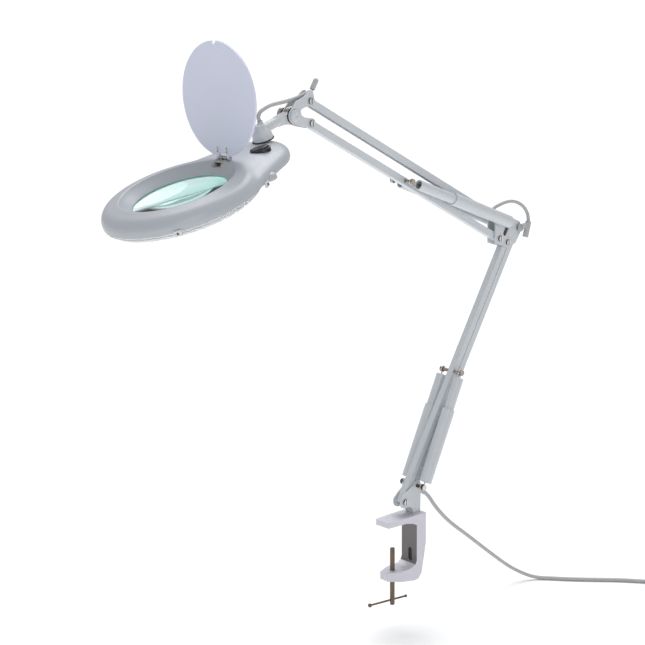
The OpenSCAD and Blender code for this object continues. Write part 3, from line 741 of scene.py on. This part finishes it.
def make_housing(place):
    """Shell of the head: a top that rolls over to the side wall and into the lens well."""
    count = 160
    rings = []
    angles = [2 * math.pi * k / count for k in range(count)]

    def ring(radius_at, height_at):
        row = []
        for a in angles:
            r = radius_at(a)
            x, y = r * math.cos(a), r * math.sin(a)
            row.append(place @ Vector((x, y, height_at(x, y))))
        rings.append(row)

    for z in (SHELL_LOW, -0.0192):
        ring(lambda a: outline_point(a, SKIN), lambda x, y, z=z: z)
    for k in range(9):
        d = SKIN + DROP * (1 - math.cos(math.radians(10 * k + 2)))
        ring(lambda a, d=d: outline_point(a, d), shell_height)
    for t in (0.12, 0.25, 0.4, 0.55, 0.7, 0.82, 0.92, 0.97, 1.0):
        ring(
            lambda a, t=t: outline_point(a, DROP) * (1 - t) + (RIM_R + 0.0012) * t,
            lambda x, y, t=t: shell_height(x, y) * (1 - ease(t)) + 0.0005 * ease(t),
        )
    for r, z in WELL_PROFILE:
        ring(lambda a, r=r: r, lambda x, y, z=z: z)
    ring(lambda a: 0.0670, lambda x, y: -0.0085)
    ring(lambda a: 0.0765, lambda x, y: -0.0018)
    for k in (6, 3, 0):
        d = SKIN + WALL + (DROP - WALL) * (1 - math.cos(math.radians(14 * k)))
        ring(
            lambda a, d=d: max(outline_point(a, d), 0.0785),
            lambda x, y: shell_height(x, y) - WALL,
        )
    ring(lambda a: outline_point(a, WALL), lambda x, y: SHELL_LOW)
    points = [p for row in rings for p in row]
    faces = grid_faces(len(rings), count, close_rows=True)
    shell = mesh_piece("housing_moulding", points, faces, "shell_plastic", "head")
    shell.data.materials.append(MATERIAL["seat_green"])
    to_head = place.inverted()
    for polygon in shell.data.polygons:
        here = to_head @ polygon.center
        in_seat = math.hypot(here.x, here.y) < SEAT_R and here.z < SEAT_DEPTH
        polygon.material_index = 1 if in_seat else 0
    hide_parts("housing_shell")


SWITCH_TURN = math.radians(-62)
ROCKER_TIP = math.radians(-8)


def make_switch(place):
    """Oval bezel with a rounded rim, and the glossy rocker in it."""
    bezel_top = place.inverted() @ pivot("switch_rock") + mm(0, 0, 5)
    turn = Matrix.Rotation(SWITCH_TURN, 4, "Z")
    at_switch = place @ Matrix.Translation(bezel_top) @ turn
    half_x, half_y = 0.0132, 0.0096
    profile = (
        (1.0, -0.0062), (1.0, -0.0008), (0.985, -0.0002), (0.95, 0.0001),
        (0.86, 0.0001), (0.8, -0.0003), (0.78, -0.001), (0.78, -0.006),
    )
    bezel = ring_loop("switch_bezel", profile, (half_x, half_y, 2.2), at_switch, "head")
    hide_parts("switch_frame")
    cap = (
        (0.76, -0.005), (0.755, 0.0), (0.735, 0.0008), (0.66, 0.0012), (0.4, 0.0006),
        (0.12, 0.0003),
    )
    at_rocker = at_switch @ Matrix.Rotation(ROCKER_TIP, 4, "Y")
    rocker = ring_loop("switch_rocker_cap", cap, (half_x, half_y, 3.0), at_rocker, "switch")
    close_ends(rocker, cap)
    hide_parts("switch_rocker")


COLLAR = (
    (0.0086, -0.00356), (0.0113, -0.00356), (0.0113, -0.0009), (0.0106, -0.0005),
    (0.0106, 0.0005), (0.0113, 0.0009), (0.0113, 0.00356), (0.0086, 0.00356),
)
NEAR_CAP = (
    (0.0001, -0.0076), (0.0084, -0.0076), (0.0084, -0.0088), (0.0074, -0.0098),
    (0.0045, -0.0105), (0.0001, -0.0107),
)
FAR_RUBBER = ((0.0090, 0.0077), (0.0108, 0.0077), (0.0108, 0.0096), (0.0090, 0.0096))
FAR_DOME = (
    (0.0001, 0.0078), (0.0092, 0.0078), (0.0092, 0.0098), (0.0113, 0.0100), (0.0113, 0.0120),
    (0.0101, 0.0123), (0.0101, 0.0129), (0.0113, 0.0132), (0.0113, 0.0150), (0.0092, 0.0155),
    (0.0084, 0.0170), (0.0055, 0.0180), (0.0001, 0.0182),
)


def make_tilt_stack():
    """Tilt joint's hardware: a smooth near cap, the collar and the far washers and dome."""
    axis = Matrix.Rotation(math.radians(-90), 4, "X")
    place = Matrix.Translation(pivot("head_tilt")) @ axis
    lathe("tilt_collar", COLLAR, "washer_chrome", "stem", place, 64)
    lathe("tilt_near_cap", NEAR_CAP, "arm_paint", "neck", place, 64)
    lathe("tilt_rubber_ring", FAR_RUBBER, "washer_rubber", "neck", place, 64)
    nut = lathe("tilt_dome_nut", FAR_DOME, "washer_chrome", "neck", place, 64)
    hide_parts("tilt_bolt")


LID_OPEN = math.radians(105)
HOOK_WIRE_R = 0.0009


def make_hinge_details(place):
    """Wire hooks on the open lid, and the hinge's bracket on the slope round the lens, with a black plate in its
    opening as painted shade.
    """
    at_pin = pivot("lid_hinge")
    up = HEAD_AXIS * math.sin(LID_OPEN) - HEAD_X * math.cos(LID_OPEN)
    out = -HEAD_AXIS * math.cos(LID_OPEN) - HEAD_X * math.sin(LID_OPEN)
    hook = ((6.1, 1.2), (6.8, 1.7), (8.5, 2.3), (11.0, 2.2), (12.4, 1.3))
    for side, across in (("left", 8.6), ("right", -8.6)):
        offset = Vector((0, across, 0))
        route = [at_pin + (up * u + out * w + offset) * MM for u, w in hook]
        tube(f"lid_hook_{side}", smooth_curve(route, 5), HOOK_WIRE_R, "washer_chrome", "lid")
    turn = math.radians(4)
    radius, height, slope = 0.0676, -0.0032, math.radians(-44)
    spot = Matrix.Translation((radius * math.cos(turn), radius * math.sin(turn), height))
    face = Matrix.Rotation(turn + math.pi / 2, 4, "Z") @ Matrix.Rotation(slope, 4, "X")
    at_bracket = place @ spot @ face
    frame_rows = (
        (1.0, -0.0012), (1.0, 0.0006), (0.95, 0.0010), (0.68, 0.0010), (0.64, 0.0006),
        (0.64, -0.0010),
    )
    bracket = (0.0095, 0.0038, 6)
    ring_loop("lid_bracket", frame_rows, bracket, at_bracket, "head", "washer_chrome")
    # A gloss black plate in the bracket's opening: painted shade where the opening lies in shadow.
    shade_plate_rows = ((0.64, -0.0006), (0.64, 0.0003))
    shade_plate = ring_loop("lid_bracket_opening_shade", shade_plate_rows, bracket, at_bracket, "head")
    close_ends(shade_plate, shade_plate_rows)


def make_threaded_screw():
    """Clamp screw with a rolled thread."""
    low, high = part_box("clamp_screw")
    radius, pitch, relief, chamfer = 0.0035, 0.00175, 0.00028, 0.0009
    rows, count = 4 * int((high.z - low.z) / pitch), 28
    points = []
    for i in range(rows + 1):
        z = low.z + (high.z - low.z) * i / rows
        end = min(z - low.z, high.z - z)
        for k in range(count):
            a = 2 * math.pi * k / count
            turn = ((z - low.z) / pitch - k / count) % 1.0
            r = radius - relief * (1 - abs(2 * turn - 1)) - max(0.0, chamfer - end)
            points.append(Vector((r * math.cos(a), r * math.sin(a), z)))
    faces = grid_faces(rows + 1, count)
    faces.append(tuple(range(count)))
    faces.append(tuple(rows * count + k for k in reversed(range(count))))
    screw = mesh_piece("clamp_screw_thread", points, faces, "bronzed_steel", "screw")
    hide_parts("clamp_screw")


BOSS_XY = (83, -68.5)


def make_neck_details(place):
    """Rounded side boss, the bell's gasket, and the screws of the boss and the underside."""
    at_boss = place @ Matrix.Translation(mm(*BOSS_XY, -20.5))
    dome = (
        (0.0001, 0.0058), (0.0035, 0.0055), (0.0062, 0.0042), (0.0078, 0.0018),
        (0.0082, -0.0012), (0.0078, -0.0026), (0.0001, -0.0026),
    )
    lathe("neck_side_boss", dome, "shell_plastic", "head", at_boss, 48)
    gasket = (
        (0.0120, -0.0019), (0.0136, -0.0019), (0.0139, -0.0012), (0.0136, -0.0004),
        (0.0120, -0.0004),
    )
    at_post = place @ Matrix.Translation((POST_X, 0, 0))
    lathe("bell_gasket", gasket, "washer_rubber", "stem", at_post, 64)
    head = ((0.0001, 0.0), (0.0021, 0.0), (0.0021, -0.0012), (0.0001, -0.0016))
    screw = rounded(head, 0.0004)
    for i, (x, y) in enumerate((BOSS_XY, (148, 18), (148, -18), (104, 44), (104, -44))):
        z = -23.1 if i == 0 else -22.6
        spot = place @ Matrix.Translation(mm(x, y, z))
        lathe(f"neck_screw_{i + 1}", screw, "dark_steel", "head", spot, 24)


def make_lens(place):
    """Biconvex lens with a ground edge."""
    sag, half, radius = 0.0046, 0.003, 0.0635
    ball = (radius**2 + sag**2) / (2 * sag)
    middle = -0.0172
    steps = 18
    arc = [radius * math.sin(math.pi / 2 * k / steps) for k in range(1, steps + 1)]
    rise = [sag - (ball - math.sqrt(ball**2 - r * r)) for r in arc]
    rows = [(r, middle + half + h) for r, h in zip(arc, rise)]
    rows += [(radius, middle - half)]
    rows += [(r, middle - half - h) for r, h in zip(arc[:-1][::-1], rise[:-1][::-1])]
    count = 128
    points = [place @ Vector((0, 0, middle + half + sag))]
    for r, z in rows:
        for k in range(count):
            a = 2 * math.pi * k / count
            points.append(place @ Vector((r * math.cos(a), r * math.sin(a), z)))
    points.append(place @ Vector((0, 0, middle - half - sag)))
    faces = [(0, 1 + k, 1 + (k + 1) % count) for k in range(count)]
    for i in range(len(rows) - 1):
        for k in range(count):
            a, b = 1 + i * count + k, 1 + i * count + (k + 1) % count
            faces.append((a, a + count, b + count, b))
    last = 1 + (len(rows) - 1) * count
    faces += [(last + k, len(points) - 1, last + (k + 1) % count) for k in range(count)]
    lens = mesh_piece("magnifying_lens", points, faces, "lens_glass", "head")
    lens.data.materials.append(MATERIAL["lens_edge"])
    for polygon in lens.data.polygons:
        if abs(polygon.normal.dot(HEAD_AXIS)) < 0.2:
            polygon.material_index = 1
    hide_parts("lens")


# ---------------------------------------------------------------- CAD pieces

SPECIAL_FINISH = {
    "lens_lid": "lid_plastic",
    "lower_spring_pin": "pin_bronze",
    "upper_spring_pin": "pin_bronze",
    "lid_hinge_leaf": "washer_chrome",
}
EDGE = {
    "clamp_frame": 0.0012,
    "plug_body": 0.0014,
    "lens_lid": 0.0006,
    "base_yoke": 0.0004,
    "elbow_bracket": 0.0004,
    "head_bracket": 0.0004,
    "diffuser_ring": 0.0007,
    "head_stem": 0.0005,
}
PLAIN_EDGE = 0.00025


def soften(node, width):
    """Rounds a CAD piece's edges for the picture, leaving its mesh as it is."""
    piece = frame["nodes"][node]
    normals = piece.data.attributes.get("custom_normal")
    if normals:
        piece.data.attributes.remove(normals)
    for polygon in piece.data.polygons:
        polygon.use_smooth = True
    for edge in piece.data.edges:
        edge.use_edge_sharp = False
    weld = piece.modifiers.new("weld", "WELD")
    weld.merge_threshold = 0.000005
    flat = piece.modifiers.new("flat", "DECIMATE")
    flat.decimate_type = "DISSOLVE"
    flat.angle_limit = math.radians(0.6)
    bevel = piece.modifiers.new("bevel", "BEVEL")
    bevel.width = width
    bevel.segments = 3
    bevel.limit_method = "ANGLE"
    bevel.angle_limit = math.radians(32)
    bevel.miter_outer = "MITER_ARC"
    normal = piece.modifiers.new("normal", "WEIGHTED_NORMAL")
    normal.keep_sharp = False


def dress_cad_pieces():
    """Gives every CAD piece its finish and soft edges."""
    for entry in frame["record"]["subparts"]:
        node = entry["node"]
        piece = frame["nodes"][node]
        finish = SPECIAL_FINISH.get(node, entry["material_slot"])
        piece.data.materials.clear()
        piece.data.materials.append(MATERIAL[finish])
        soften(node, EDGE.get(node, PLAIN_EDGE))


def paint_clamp_back_shade():
    """Painted shade on the clamp's back: its inner face between the jaws darker, and a dark patch painted as the
    slot's shadow.
    """
    clamp = frame["nodes"]["clamp_frame"]
    clamp.data.materials.append(MATERIAL["clamp_recess_shade"])
    clamp.data.materials.append(MATERIAL["painted_slot_shadow"])
    face_x, slot_y = 0.0334, -0.002
    for polygon in clamp.data.polygons:
        centre = polygon.center
        # painted shade: the slot's shadow and the inner face's shade are picked out by position and facing
        slot = abs(centre.y - slot_y) < 0.0042 and -0.065 < centre.z < -0.041
        if slot and face_x + 0.0003 < centre.x < face_x + 0.0024:
            polygon.material_index = 2
        elif polygon.normal.x < -0.6 and centre.x > 0.028 and -0.066 < centre.z < -0.003:
            polygon.material_index = 1
        else:
            polygon.material_index = 0


def paint_bolt_face_highlights():
    """Painted highlight on the bolts: their flat end faces in a lighter steel."""
    for node in ("yoke_bolts", "elbow_bolts", "head_bracket_bolts"):
        piece = frame["nodes"][node]
        piece.data.materials.append(MATERIAL["bolt_face_highlight"])
        for polygon in piece.data.polygons:
            # faces that face along Y are the end faces that get the painted highlight
            polygon.material_index = 1 if abs(polygon.normal.y) > 0.97 else 0


CLIPS = (
    (-65.2, -72.7, -131.9), (-65.2, 72.7, 131.9),
    (67.7, -77.5, -67.5), (67.7, 77.5, 67.5),
)
CLIP_SCREW_Z = -22


def darken_clip_screws(place):
    """Small dark screws in the clear ring's clips."""
    clips = frame["nodes"]["diffuser_clips"]
    clips.data.materials.append(MATERIAL["dark_steel"])
    to_head = place.inverted()
    for polygon in clips.data.polygons:
        here = to_head @ polygon.center
        polygon.material_index = 1 if any(near_screw(here, clip) for clip in CLIPS) else 0


def near_screw(here, clip):
    """Whether a point in the head is on a clip's screw."""
    away = here - mm(clip[0], clip[1], CLIP_SCREW_Z)
    turn = math.radians(clip[2])
    along = away.x * math.cos(turn) + away.y * math.sin(turn)
    across = away.y * math.cos(turn) - away.x * math.sin(turn)
    return abs(along) < 0.006 and math.hypot(across, away.z) < 0.0014


make_camera()
MATERIAL = make_materials()
make_studio()
make_mains_cord()
make_loop("elbow_cord_loop", "elbow_cord", ELBOW_LOOP)
make_loop("head_cord_loop", "head_cord", HEAD_LOOP)
for arm in ("lower", "upper"):
    make_springs(f"{arm}_spring_coils", f"{arm}_springs", f"{arm}_cover_slide")
HEAD = head_place()
make_housing(HEAD)
make_lens(HEAD)
make_switch(HEAD)
make_tilt_stack()
make_hinge_details(HEAD)
make_threaded_screw()
make_neck_details(HEAD)
dress_cad_pieces()
paint_clamp_back_shade()
paint_bolt_face_highlights()
darken_clip_screws(HEAD)
